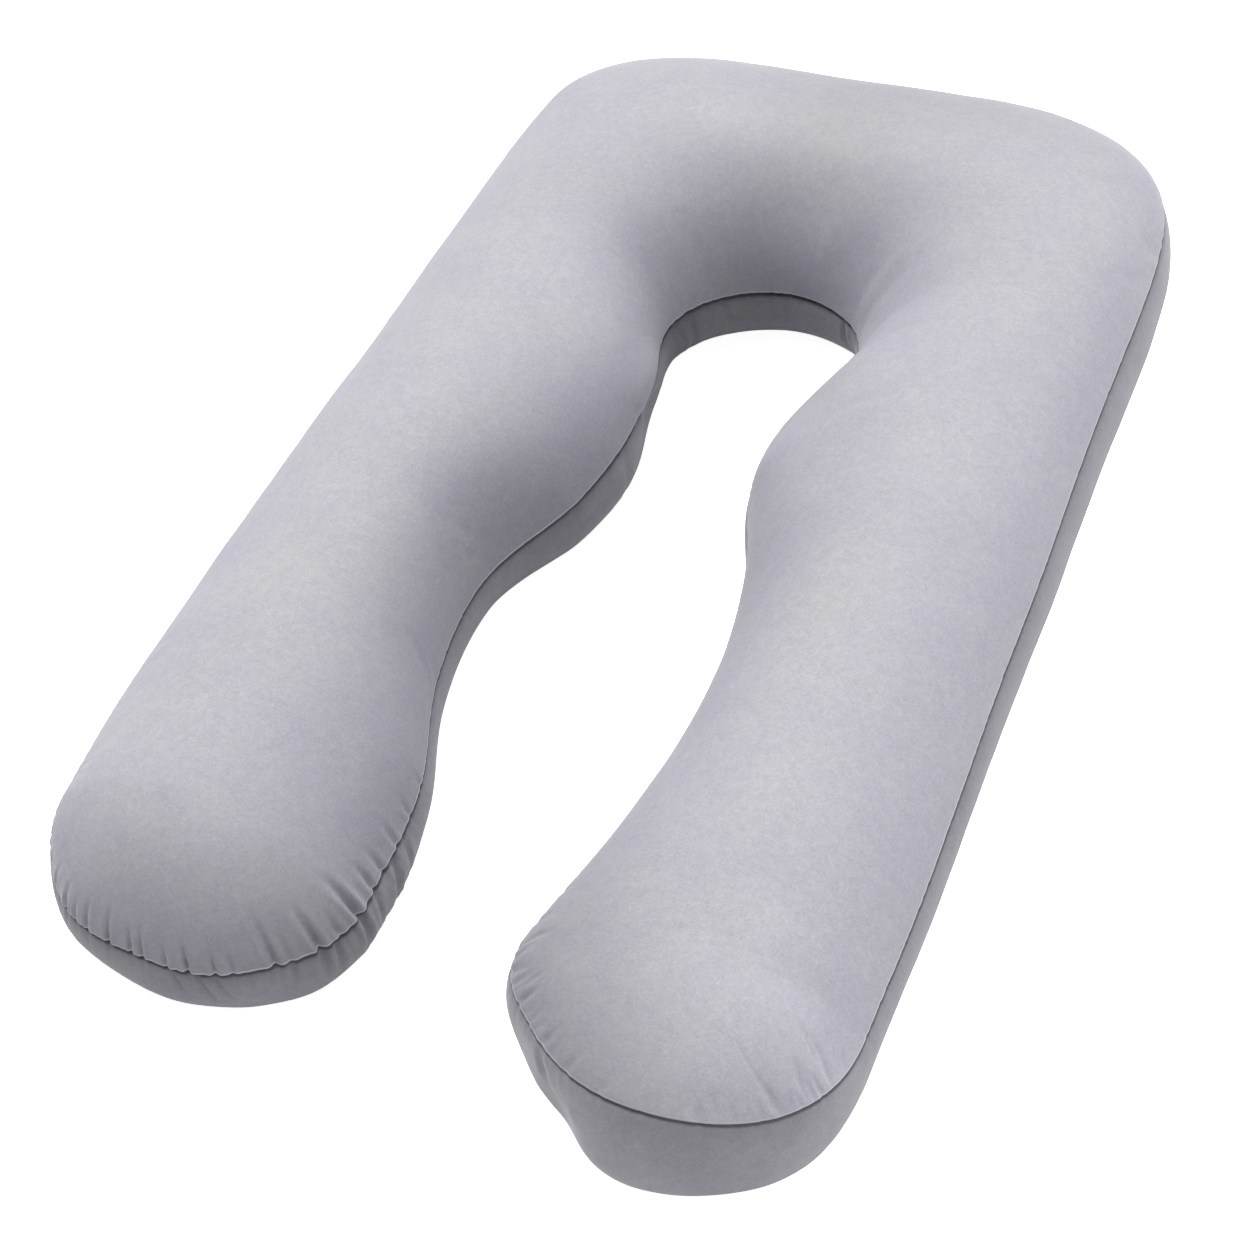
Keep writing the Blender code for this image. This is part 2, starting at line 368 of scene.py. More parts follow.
@dataclass
class Lobes:
    """The section of the cloth above and below the seam."""

    upper_flatness: float = 2.2
    upper_fullness: float = 1.5
    lower_rounding: float = 0.060
    lower_squareness: float = 3.4
    lower_bulge: float = 0.09
    upper_points: int = 30
    lower_points: int = 20
    floor_points: int = 5
    crowding: float = 1.6
    draft_points: int = 160

    def _spread(self, path: Array, count: int) -> tuple[Array, Array]:
        """Place points along drafted curves, close together beside the seam.

        Args:
            path: Drafted points from the seam outwards, ribs by points by 2.
            count: How many points to place after the seam's own.

        Returns:
            The placed points, and their distance from the seam along the cloth.
        """
        steps = np.linalg.norm(np.diff(path, axis=1), axis=2)
        length = np.concatenate([np.zeros((len(path), 1)), np.cumsum(steps, axis=1)], axis=1)
        share = (np.arange(1, count + 1) / count) ** self.crowding
        wanted = length[:, -1:] * share
        placed = np.empty((len(path), count, 2))
        for rib in range(len(path)):
            for axis in range(2):
                placed[rib, :, axis] = np.interp(wanted[rib], length[rib], path[rib, :, axis])
        return placed, wanted

    def section(self, ribs: Ribs) -> tuple[Array, Array]:
        """Draw the cloth along each rib.

        Args:
            ribs: The ribs.

        Returns:
            Points from beside the crown, over the seam, to beside the floor's middle, as
            reach and height, and each one's distance from the seam, minus below it.
        """
        reach, seam = ribs.reach[:, None], ribs.seam[:, None]
        share = np.cos(np.linspace(0, math.pi / 2, self.draft_points + 1))[None, :]
        rise = (1 - share**self.upper_flatness) ** (1 / self.upper_fullness)
        path = np.stack([reach * share, seam + (ribs.crown[:, None] - seam) * rise], axis=2)
        upper, above = self._spread(path, self.upper_points)
        upper, above = upper[:, -2::-1], above[:, -2::-1]
        fall = np.sin(np.linspace(0, math.pi / 2, self.draft_points + 1))[None, :]
        fall = np.clip(fall ** (2 / self.lower_squareness), 0, 1)
        rounded = (1 - fall**self.lower_squareness) ** (1 / self.lower_squareness)
        bulge = self.lower_bulge * seam * np.sin(math.pi * fall)
        wall = reach - self.lower_rounding * (1 - rounded) + bulge
        path = np.stack([wall, seam * (1 - fall)], axis=2)
        lower, below = self._spread(path, self.lower_points)
        inward = 1 - np.arange(1, self.floor_points + 1)[None, :] / (self.floor_points + 1)
        patch = (reach - self.lower_rounding) * inward
        floor = np.stack([patch, np.zeros_like(patch)], axis=2)
        line = np.stack([reach, seam], axis=2)
        past = below[:, -1:] + (1 - inward) * reach
        points = np.concatenate([upper, line, lower, floor], axis=1)
        away = np.concatenate([above, np.zeros_like(reach), -below, -past], axis=1)
        return points, away

    @property
    def seam_row(self) -> int:
        """Index of the seam's point on a rib."""
        return self.upper_points - 1

    @property
    def contact_row(self) -> int:
        """Index of the point where a rib reaches the floor."""
        return self.upper_points + self.lower_points - 1


@dataclass
class Cloth:
    """The cushion's surface as arrays, with what each point needs to know of its place."""

    points: Array
    out: Array
    away: Array
    turn: Array
    side: Array
    along: Array
    faces: list[tuple[int, ...]]
    seam_loop: Array
    contact: Array


@dataclass
class Loft:
    """Lays the ribs side by side and closes them into one skin."""

    plan: Plan
    lobes: Lobes
    leg_ribs: int = 180
    leg_grading: float = 0.55
    head_ribs: int = 160
    end_step: float = 0.75
    end_softening: float = 0.045
    end_steepness: float = 3.5
    end_fade: float = 0.09
    end_lowest: float = 0.03

    def _rib_sets(self) -> list[Ribs]:
        """Set out every rib.

        Returns:
            The outer ribs and the inner ones, both from the right leg over the head to the
            left leg, and then the fans that close the right and the left leg.
        """
        plan = self.plan
        share = np.linspace(0, 1, self.leg_ribs + 1)
        share = share * (1 - self.leg_grading) + self.leg_grading * share**2
        places = share * (len(plan.legs[Side.RIGHT]) - 1)
        angles = np.linspace(0, math.pi, self.head_ribs + 1)[1:-1]
        right = plan.leg(Side.RIGHT, places)
        head = plan.head(angles)
        left = plan.leg(Side.LEFT, places[::-1])
        outer, inner = (Ribs.join([right[i], head[i], left[i]]) for i in range(2))
        turns = np.arange(self.end_step, 180, self.end_step)
        return [outer, inner, *(plan.end(side, turns) for side in Side)]

    def build(self) -> Cloth:
        """Build the whole skin.

        Returns:
            The cloth, centred over the origin.
        """
        sets = self._rib_sets()
        outer = sets[0]
        every = Ribs.join(sets)
        section, away = self.lobes.section(every)
        plan_xy = every.foot[:, None, :] + every.out[:, None, :] * section[:, :, :1]
        skin = np.concatenate([plan_xy, section[:, :, 1:]], axis=2)
        per_rib = skin.shape[1]
        tops = np.column_stack([outer.foot, outer.crown])
        bottoms = np.column_stack([outer.foot, np.zeros(len(outer))])
        points = np.concatenate([skin.reshape(-1, 3), tops, bottoms])
        grid = np.arange(len(every) * per_rib).reshape(len(every), per_rib)
        top_of = len(every) * per_rib + np.arange(len(outer))
        bottom_of = top_of + len(outer)
        starts = np.cumsum([0] + [len(part) for part in sets])
        rows = [grid[a:b] for a, b in zip(starts, starts[1:])]
        outside, inside, right_fan, left_fan = (part[:, self.lobes.seam_row] for part in rows)
        loop = np.concatenate([outside, left_fan, inside[::-1], right_fan[::-1]])
        steps = np.linalg.norm(points[loop] - points[np.roll(loop, 1)], axis=1)
        along = np.zeros(len(every))
        along[loop // per_rib] = np.cumsum(steps)

        def each_point(values: Array, spine: Array) -> Array:
            """Repeat each rib's value for its points, and add those of the spine's points."""
            return np.concatenate([np.repeat(values, per_rib, axis=0), spine])

        none = np.zeros(2 * len(outer))
        cloth = Cloth(
            points=points,
            out=each_point(every.out, np.repeat(outer.out, 2, axis=0)),
            away=np.concatenate([away.reshape(-1), outer.reach, -outer.reach]),
            turn=each_point(every.turn, none - NO_TURN),
            side=each_point(np.sign(every.foot[:, 0]), none),
            along=each_point(along, none),
            faces=self._faces(rows, top_of, bottom_of),
            seam_loop=loop,
            contact=np.concatenate([
                np.tile(np.arange(per_rib) >= self.lobes.contact_row, len(every)),
                np.zeros(len(outer), bool), np.ones(len(outer), bool),
            ]),
        )
        self._soften_ends(cloth)
        low, high = cloth.points[:, :2].min(axis=0), cloth.points[:, :2].max(axis=0)
        cloth.points[:, :2] -= (low + high) / 2
        return cloth

    def _soften_ends(self, cloth: Cloth) -> None:
        """Ease the top of each leg into its rounded end, without a line across the leg.

        Args:
            cloth: The cloth, whose points are moved.
        """
        past = self.plan.leg_end_y - cloth.points[:, 1]
        half = self.end_softening
        eased = np.clip(past + half, 0, 2 * half) ** 3 / (6 * half)
        drop = np.where(past > half, half**2 / 3, eased - np.maximum(past, 0) ** 2)
        window = np.clip(cloth.away / self.end_fade, 0, 1)
        window = window**2 * (3 - 2 * window)
        top = (cloth.points[:, 2] > self.end_lowest) & (past > -half)
        cloth.points[:, 2] -= self.end_steepness * drop * window * top

    def _faces(self, rows: list[Array], tops: Array, bottoms: Array) -> list[tuple[int, ...]]:
        """Close the skin over the ribs.

        Args:
            rows: Point indices of each set of ribs, one row for each rib.
            tops: Points on the crown, one for each outer rib.
            bottoms: Points on the floor's middle, one for each outer rib.

        Returns:
            The faces, as point indices that turn left seen from outside.
        """
        outer, inner, right_fan, left_fan = rows
        faces = self._strips(np.column_stack([tops, outer, bottoms]))
        faces += self._strips(np.column_stack([tops, inner, bottoms])[::-1])
        for fan, at, step in ((right_fan, 0, -1), (left_fan, -1, 1)):
            ring = np.vstack([outer[at], fan, inner[at]])
            shared = np.ones(len(ring), int)
            rails = np.column_stack([tops[at] * shared, ring, bottoms[at] * shared])
            faces += self._strips(rails[::step])
        return faces

    @staticmethod
    def _strips(rails: Array) -> list[tuple[int, ...]]:
        """Close the cloth between ribs, with triangles at the points that two ribs share."""
        quads = np.stack([rails[:-1, :-1], rails[:-1, 1:], rails[1:, 1:], rails[1:, :-1]], axis=2)
        return [tuple(dict.fromkeys(quad)) for quad in quads.reshape(-1, 4).tolist()]


@dataclass
class Relief:
    """What is sewn and creased into the filled cloth: seam, gathers, puckers and creases."""

    seam_depth: float = 0.0042
    seam_above: float = 0.0013
    seam_below: float = 0.0032
    lip_height: float = 0.0009
    lip_place: float = 0.0032
    lip_width: float = 0.0022
    shoulder: float = 0.35
    shoulder_place: float = 2.1
    shoulder_width: float = 1.2
    end_radius: float = 0.148
    gather_rise: float = 0.010
    gather_scallop: float = 0.5
    gather_fade: float = 1.5
    gather_spread: float = 8.0
    gather_lift: float = 0.30
    lift_reach: float = 0.008
    below_length: float = 0.016
    crease_ends: Span = (0.12, 0.92)
    swell_height: float = 0.0012
    swell_scale: float = 9.0
    swell_finer: float = 2.6
    swell_detail: float = 0.4
    swell_fade: float = 0.03
    pucker_seed: int = 11
    pucker_spacing: float = 0.011
    pucker_gaps: Span = (0.4, 1.6)
    pucker_depths: Span = (0.0003, 0.0011)
    pucker_lengths: Span = (0.004, 0.011)
    pucker_width: float = 0.0024
    pucker_reach: float = 0.009
    pucker_band: float = 0.03
    held_height: float = 0.004
    gathers: dict[Side, tuple[Gather, ...]] = field(default_factory=lambda: {
        Side.LEFT: (
            Gather(18, 0.0013, 0.024, 0.0022),
            Gather(29, 0.0014, 0.026, 0.0023),
            Gather(38, 0.0017, 0.030, 0.0023),
            Gather(49, 0.0027, 0.036, 0.0026, 0.1),
            Gather(56, 0.0020, 0.030, 0.0023, 0.1),
            Gather(63, 0.0027, 0.044, 0.0026, 0.1),
            Gather(75, 0.0035, 0.042, 0.0027, 0.1),
            Gather(87, 0.0030, 0.034, 0.0025),
            Gather(93, 0.0027, 0.040, 0.0024),
            Gather(105, 0.0027, 0.026, 0.0024),
            Gather(114, 0.0047, 0.034, 0.0025),
            Gather(124, 0.0041, 0.024, 0.0024, -0.1),
            Gather(130, 0.0027, 0.026, 0.0023, -0.1),
            Gather(144, 0.0052, 0.060, 0.0027, -0.2),
            Gather(149, 0.0023, 0.034, 0.0023, -0.2),
            Gather(159, 0.0070, 0.048, 0.0028, -0.3),
            Gather(167, 0.0025, 0.034, 0.0024, -0.3),
            Gather(176, 0.0076, 0.058, 0.0030, -0.4),
            Gather(187, 0.0037, 0.036, 0.0026, -0.3),
            Gather(194, 0.0025, 0.034, 0.0024, -0.3),
            Gather(205, 0.0023, 0.030, 0.0024, -0.2),
            Gather(217, 0.0018, 0.026, 0.0024),
            Gather(229, 0.0014, 0.022, 0.0024),
        ),
        Side.RIGHT: (
            Gather(30, 0.0010, 0.012, 0.0022),
            Gather(52, 0.0012, 0.014, 0.0024),
            Gather(70, 0.0012, 0.016, 0.0024),
            Gather(86, 0.0014, 0.018, 0.0024),
            Gather(99, 0.0016, 0.020, 0.0026),
            Gather(112, 0.0018, 0.024, 0.0028),
            Gather(126, 0.0019, 0.028, 0.0030),
            Gather(137, 0.0013, 0.022, 0.0026, 0.1),
            Gather(147, 0.0020, 0.032, 0.0032, 0.1),
            Gather(156, 0.0012, 0.024, 0.0028, 0.1),
            Gather(168, 0.0018, 0.036, 0.0034, 0.1),
            Gather(183, 0.0010, 0.026, 0.0032),
            Gather(196, 0.0016, 0.024, 0.0030),
        ),
    })
    creases: tuple[Crease, ...] = (
        Crease((3.457, -0.003), (3.470, -0.028), 0.0026, 0.0030),
        Crease((3.484, -0.003), (3.494, -0.030), 0.0029, 0.0030),
        Crease((3.498, -0.003), (3.512, -0.028), 0.0022, 0.0028),
        Crease((3.573, -0.003), (3.568, -0.018), 0.0026, 0.0034),
        Crease((3.603, -0.003), (3.598, -0.028), 0.0035, 0.0034),
        Crease((3.620, -0.003), (3.613, -0.030), 0.0032, 0.0030),
        Crease((3.659, -0.003), (3.648, -0.032), 0.0042, 0.0036),
        Crease((3.684, -0.003), (3.676, -0.028), 0.0032, 0.0030),
        Crease((3.726, -0.004), (3.706, -0.040), 0.0042, 0.0044),
        Crease((3.752, -0.003), (3.742, -0.030), 0.0026, 0.0034),
        Crease((4.110, -0.014), (4.290, -0.008), 0.0014, 0.0070),
        Crease((4.225, -0.003), (4.215, -0.040), 0.0018, 0.0045),
        Crease((4.330, -0.004), (4.310, -0.040), 0.0018, 0.0045),
        Crease((4.400, -0.010), (4.470, -0.030), 0.0024, 0.0050),
        Crease((4.566, -0.002), (4.568, -0.050), 0.0030, 0.0046),
        Crease((4.545, -0.002), (4.552, -0.044), 0.0024, 0.0034),
        Crease((4.612, -0.004), (4.616, -0.040), 0.0012, 0.0050),
        Crease((4.690, -0.004), (4.700, -0.040), 0.0012, 0.0060),
        Crease((4.770, -0.002), (4.777, -0.040), 0.0030, 0.0036),
        Crease((5.886, -0.016), (5.893, -0.040), 0.0030, 0.0060),
        Crease((5.900, -0.048), (5.968, -0.026), 0.0024, 0.0045),
        Crease((5.945, -0.050), (5.985, -0.044), 0.0012, 0.0045),
        Crease((4.790, 0.030), (4.790, 0.120), 0.0007, 0.0060),
        Crease((4.818, 0.030), (4.808, 0.164), 0.0009, 0.0070),
        Crease((4.860, 0.040), (4.840, 0.170), 0.0007, 0.0060),
        Crease((4.915, 0.060), (4.895, 0.190), 0.0007, 0.0070),
        Crease((5.060, 0.110), (5.020, 0.200), 0.0008, 0.0070),
        Crease((4.716, 0.060), (4.705, 0.164), 0.0014, 0.0050),
        Crease((4.600, 0.020), (4.596, 0.110), 0.0008, 0.0070),
    )
    bulges: tuple[Bulge, ...] = (
        Bulge((2.850, 0.040), (0.340, 0.035), 0.0050),
        Bulge((3.350, -0.030), (0.050, 0.040), -0.0025),
        Bulge((3.430, -0.055), (0.040, 0.035), 0.0050),
        Bulge((3.500, -0.055), (0.030, 0.030), -0.0015),
        Bulge((3.590, -0.050), (0.045, 0.030), 0.0050),
        Bulge((3.715, -0.040), (0.070, 0.028), 0.0085),
        Bulge((4.290, -0.045), (0.110, 0.030), 0.0090),
        Bulge((4.410, -0.022), (0.045, 0.030), -0.0120),
        Bulge((4.430, 0.008), (0.050, 0.024), 0.0090),
        Bulge((4.640, -0.045), (0.090, 0.026), 0.0055),
        Bulge((4.790, -0.040), (0.030, 0.034), -0.0070),
        Bulge((5.000, 0.080), (0.045, 0.050), -0.0070),
        Bulge((5.090, 0.050), (0.040, 0.040), 0.0030),
        Bulge((5.190, -0.005), (0.060, 0.060), -0.0090),
        Bulge((5.200, -0.030), (0.070, 0.030), -0.0050),
        Bulge((5.200, 0.040), (0.050, 0.030), 0.0030),
        Bulge((5.745, 0.000), (0.050, 0.040), -0.0010),
        Bulge((5.835, -0.050), (0.040, 0.035), -0.0060),
        Bulge((5.905, -0.075), (0.035, 0.045), -0.0125),
        Bulge((5.990, -0.105), (0.070, 0.045), 0.0045),
        Bulge((6.120, -0.080), (0.060, 0.040), 0.0040),
        Bulge((0.980, -0.050), (0.260, 0.035), 0.0035),
        Bulge((1.560, 0.095), (0.100, 0.060), 0.0020),
        Bulge((2.015, 0.050), (0.070, 0.060), 0.0045),
    )

    def lay(self, cloth: Cloth, normals: Array) -> None:
        """Move the cloth's points to show everything that is sewn or creased into it.

        Args:
            cloth: The cloth, whose points are moved.
            normals: The cloth's normals at its points.
        """
        away = cloth.away
        outward = np.column_stack([cloth.out, np.zeros(len(away))])
        tuck = self._seam(away)
        depth = self._swell(cloth) + self._puckers(cloth) - self._bulges(cloth)
        lift = np.zeros(len(away))
        for side, gathers in self.gathers.items():
            for gather in gathers:
                fold, share = self._gather(cloth, side, gather)
                depth += fold
                lift += self.gather_lift * gather.depth * share * bell(away, self.lift_reach)
        for crease in self.creases:
            depth += self._crease(cloth, crease)
        held = cloth.contact | (cloth.points[:, 2] < self.held_height)
        depth[held] = 0.0
        cloth.points -= outward * tuck[:, None] + normals * depth[:, None]
        cloth.points[:, 2] += lift
        cloth.points[:, 2] = np.maximum(cloth.points[:, 2], 0.0)

    def _seam(self, away: Array) -> Array:
        """How far the seam draws the cloth in, with a lip where the top panel rolls over it.

        Args:
            away: Each point's distance from the seam, minus below it.

        Returns:
            How far each point moves inwards.
        """
        width = np.where(away > 0, self.seam_above, self.seam_below)
        lip = self.lip_height * bell(away - self.lip_place, self.lip_width)
        return self.seam_depth * np.exp(-np.abs(away) / width) - lip

    def _fold(self, across: Array, width: float | Array) -> Array:
        """The section of a fold: a valley with a soft shoulder on each side."""
        past = np.abs(across) - self.shoulder_place * width
        return bell(across, width) - self.shoulder * bell(past, self.shoulder_width * width)

    def _gather(self, cloth: Cloth, side: Side, gather: Gather) -> tuple[Array, Array]:
        """How far one gather folds the cloth in at every point.

        Args:
            cloth: The cloth.
            side: The leg that the gather is on.
            gather: The gather.

        Returns:
            The depth of the fold, and the share of the gather that each point is in.
        """
        rise = np.maximum(cloth.away, 0)
        turn = cloth.turn - gather.turn - gather.lean * np.degrees(rise)
        across = np.radians(turn) * self.end_radius
        near = self.gather_scallop + (1 - self.gather_scallop) * rise / self.gather_rise
        past = np.clip(1 - (rise - self.gather_rise) / gather.length, 0, 1) ** self.gather_fade
        along = np.where(rise < self.gather_rise, near, past)
        below = self.gather_scallop * np.exp(-np.abs(cloth.away) / self.below_length)
        along = np.where(cloth.away < 0, below, along)
        here = cloth.side == side.value
        width = gather.width * (1 + self.gather_spread * rise)
        share = bell(across, gather.width) * here
        return gather.depth * self._fold(across, width) * along * here, share

    def _crease(self, cloth: Cloth, crease: Crease) -> Array:
        """How far one crease folds the cloth in.

        Args:
            cloth: The cloth.
            crease: The crease.

        Returns:
            The depth of the fold at every point.
        """
        start, end = np.array(crease.start), np.array(crease.end)
        place = np.column_stack([cloth.along, cloth.away]) - start
        run = end - start
        share = np.clip(place @ run / (run @ run), 0, 1)
        gap = np.linalg.norm(place - share[:, None] * run, axis=1)
        fade = np.sqrt(np.sin(math.pi * np.clip(share, *self.crease_ends)))
        return crease.depth * self._fold(gap, crease.width) * fade

    def _bulges(self, cloth: Cloth) -> Array:
        """How far the uneven filling pushes every point out."""
        place = np.column_stack([cloth.along, cloth.away])
        return sum(bulge.height * hill(place, bulge.centre, bulge.reach) for bulge in self.bulges)

    def _puckers(self, cloth: Cloth) -> Array:
        """Small irregular puckers along the whole seam, where the thread pulls the cloth in.

        Args:
            cloth: The cloth.

        Returns:
            The depth of the puckers at every point.
        """
        draws = np.random.default_rng(self.pucker_seed)
        count = int(cloth.along.max() / self.pucker_spacing)
        places = np.cumsum(draws.uniform(*self.pucker_gaps, count)) * self.pucker_spacing
        depth = np.zeros(len(cloth.away))
        close = np.abs(cloth.away) < self.pucker_band
        along, away = cloth.along[close], cloth.away[close]
        part = np.zeros(len(along))
        for place in places:
            deep, length = draws.uniform(*self.pucker_depths), draws.uniform(*self.pucker_lengths)
            across = along - place
            hit = np.abs(across) < self.pucker_reach
            reach = np.exp(-np.abs(away[hit]) / length)
            part[hit] += deep * bell(across[hit], self.pucker_width) * reach
        depth[close] = part
        return depth

    def _swell(self, cloth: Cloth) -> Array:
        """Slow uneven swells, where the filling lies thicker or thinner.

        Args:
            cloth: The cloth.

        Returns:
            The depth of the swells at every point.
        """
        window = np.clip(np.abs(cloth.away) / self.swell_fade, 0, 1)
        unevenness = [
            noise.noise(place) + self.swell_detail * noise.noise(place * self.swell_finer)
            for place in (Vector(point) * self.swell_scale for point in cloth.points.tolist())
        ]
        return self.swell_height * np.array(unevenness) * window


@dataclass
class Cushion:
    """The filled cushion: one skin of two panels, blown up and then sewn."""

    loft: Loft
    relief: Relief
    pressure: float = 4.0
    frames: int = 20
    quality: int = 4
    most_swelling: float = 0.006
    # Painted light and shade: a plain share for each panel, areas painted paler or darker, painted
    # shadow just under the seam, and painted top light above the steepness given by steep.
    plain_painted_shade: float = 1.01
    under_painted_shade: float = 0.83
    under_shadow: float = 0.25
    shadow_reach: float = 0.026
    steep: float = 0.65
    tone_and_painted_light: tuple[PaintedShadeArea, ...] = (
        PaintedShadeArea((-0.100, -0.250), (0.110, 0.330), -0.27),
        PaintedShadeArea((-0.150, -0.620), (0.120, 0.090), -0.13),
        PaintedShadeArea((0.120, -0.580), (0.090, 0.140), -0.26),
        PaintedShadeArea((0.220, -0.720), (0.100, 0.100), -0.30),
        PaintedShadeArea((0.140, -0.100), (0.100, 0.350), -0.08),
        PaintedShadeArea((0.080, 0.660), (0.450, 0.120), -0.28),
        PaintedShadeArea((-0.120, 0.300), (0.070, 0.220), 0.07),
        PaintedShadeArea((0.140, 0.380), (0.060, 0.080), 0.07),
    )
    painted_under_shade: tuple[PaintedShadeArea, ...] = (
        PaintedShadeArea((0.230, -0.710), (0.090, 0.100), 0.32),
        PaintedShadeArea((0.390, -0.560), (0.060, 0.180), 0.14),
        PaintedShadeArea((-0.240, -0.660), (0.140, 0.100), 0.20),
        PaintedShadeArea((-0.090, 0.080), (0.050, 0.060), 0.06),
        PaintedShadeArea((0.000, 0.360), (0.100, 0.100), -0.06),
        PaintedShadeArea((-0.100, 0.290), (0.022, 0.045), -0.18),
    )

    def build(self, finishes: dict[Panel, bpy.types.Material]) -> bpy.types.Object:
        """Make the cushion and place it in the frame.

        Args:
            finishes: The material of each panel.

        Returns:
            The cushion's object.
        """
        cloth = self.loft.build()
        mesh = bpy.data.meshes.new("cushion")
        mesh.from_pydata(cloth.points.tolist(), [], cloth.faces)
        cushion = bpy.data.objects.new("cushion", mesh)
        bpy.context.scene.collection.objects.link(cushion)
        self._fill(cushion, cloth)
        self.relief.lay(cloth, self._normals(mesh))
        self._write(mesh, cloth.points)
        # Painted light: points that face up are given more of the velvet's pale colour.
        painted_top_light = np.clip((self._normals(mesh)[:, 2] - self.steep) / (1 - self.steep), 0, 1)
        mesh.shade_smooth()
        for panel in Panel:
            mesh.materials.append(finishes[panel])
        middle = np.array([np.mean([cloth.away[v] for v in face]) for face in cloth.faces])
        mesh.polygons.foreach_set("material_index", (middle < 0).astype(np.int32))
        carried = {ABOVE_SEAM: cloth.away, PAINTED_LIGHT_AND_SHADE: self._painted_light_and_shade(cloth), PAINTED_TOP_LIGHT: painted_top_light}
        for name, values in carried.items():
            place = mesh.attributes.new(name, "FLOAT", "POINT")
            place.data.foreach_set("value", values.astype(np.float32))
        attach(cushion, BODY)
        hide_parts(NODE)
        return cushion

    def _painted_light_and_shade(self, cloth: Cloth) -> Array:
        """Painted light and shade: areas in plan painted paler or darker, and painted shadow under
        the seam's overhang.

        Args:
            cloth: The cloth.

        Returns:
            The shade at every point, around 1.
        """
        plan = cloth.points[:, :2]
        top, under = (
            plain + sum(area.shade * hill(plan, area.centre, area.reach) for area in areas)
            for plain, areas in (
                (self.plain_painted_shade, self.tone_and_painted_light), (self.under_painted_shade, self.painted_under_shade)
            )
        )
        overhang = 1 - self.under_shadow * np.exp(-np.abs(cloth.away) / self.shadow_reach)
        return np.where(cloth.away > 0, top, under * overhang)

    def _fill(self, cushion: bpy.types.Object, cloth: Cloth) -> None:
        """Blow the cushion up with a short cloth simulation, held at its seam and base.

        Args:
            cushion: The object to simulate.
            cloth: Its cloth, whose points are moved.
        """
        held = cushion.vertex_groups.new(name="held")
        held.add(cloth.seam_loop.tolist(), 1.0, "REPLACE")
        held.add(np.flatnonzero(cloth.contact).tolist(), 1.0, "REPLACE")
        filling = cushion.modifiers.new("filling", "CLOTH")
        settings = filling.settings
        settings.quality = self.quality
        settings.use_pressure = True
        settings.uniform_pressure_force = self.pressure
        settings.effector_weights.gravity = 0.0
        settings.vertex_group_mass = held.name
        filling.collision_settings.use_collision = False
        filling.point_cache.frame_start = 1
        filling.point_cache.frame_end = self.frames
        scene = bpy.context.scene
        for step in range(1, self.frames + 1):
            scene.frame_set(step)
        evaluated = cushion.evaluated_get(bpy.context.evaluated_depsgraph_get()).data
        swollen = np.empty(len(cloth.points) * 3, np.float32)
        evaluated.vertices.foreach_get("co", swollen)
        cushion.modifiers.remove(filling)
        cushion.vertex_groups.remove(held)
        scene.frame_set(1)
        move = swollen.reshape(-1, 3) - cloth.points
        length = np.linalg.norm(move, axis=1, keepdims=True)
        log.info("filling moves the cloth by up to %.1f mm", 1000 * length.max())
        cloth.points += move * (self.most_swelling / np.maximum(length, self.most_swelling))
        self._write(cushion.data, cloth.points)

    @staticmethod
    def _normals(mesh: bpy.types.Mesh) -> Array:
        """The mesh's normals at its points."""
        normals = np.empty(len(mesh.vertices) * 3, np.float32)
        mesh.vertices.foreach_get("normal", normals)
        return normals.reshape(-1, 3)

    @staticmethod
    def _write(mesh: bpy.types.Mesh, points: Array) -> None:
        """Set a mesh's points."""
        mesh.vertices.foreach_set("co", points.astype(np.float32).reshape(-1))
        mesh.update()


